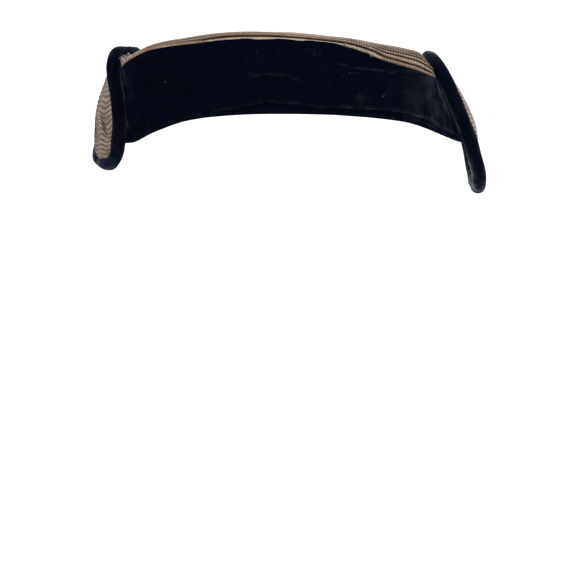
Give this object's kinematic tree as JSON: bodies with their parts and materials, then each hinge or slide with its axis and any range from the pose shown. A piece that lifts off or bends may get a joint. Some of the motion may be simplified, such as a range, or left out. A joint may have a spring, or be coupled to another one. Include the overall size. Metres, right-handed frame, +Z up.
{
  "type": "winged cocktail half hat",
  "caption": "Winged half hat for a head: oval velvet crown with a broad band, a top of tucked silk, and a rounded silk wing with a padded velvet edge over each ear.",
  "frame": {"origin": "where the top of the head touches the underside of the crown, at the middle of the hat", "axes": "+Z up, the hat's face towards -Y, +X to the right of someone who looks at its face"},
  "size_m": [0.221, 0.119, 0.0842],
  "materials": {
    "velvet": "near-black navy silk velvet, soft pile",
    "silk": "taupe ribbed silk, low sheen"
  },
  "bodies": {
    "root": {"crown": "velvet", "crown_drape": "silk", "left_wing_cover": "silk", "left_wing_facing": "velvet", "left_wing_roll": "velvet", "right_wing_cover": "silk", "right_wing_facing": "velvet", "right_wing_roll": "velvet"}
  },
  "joints": []
}
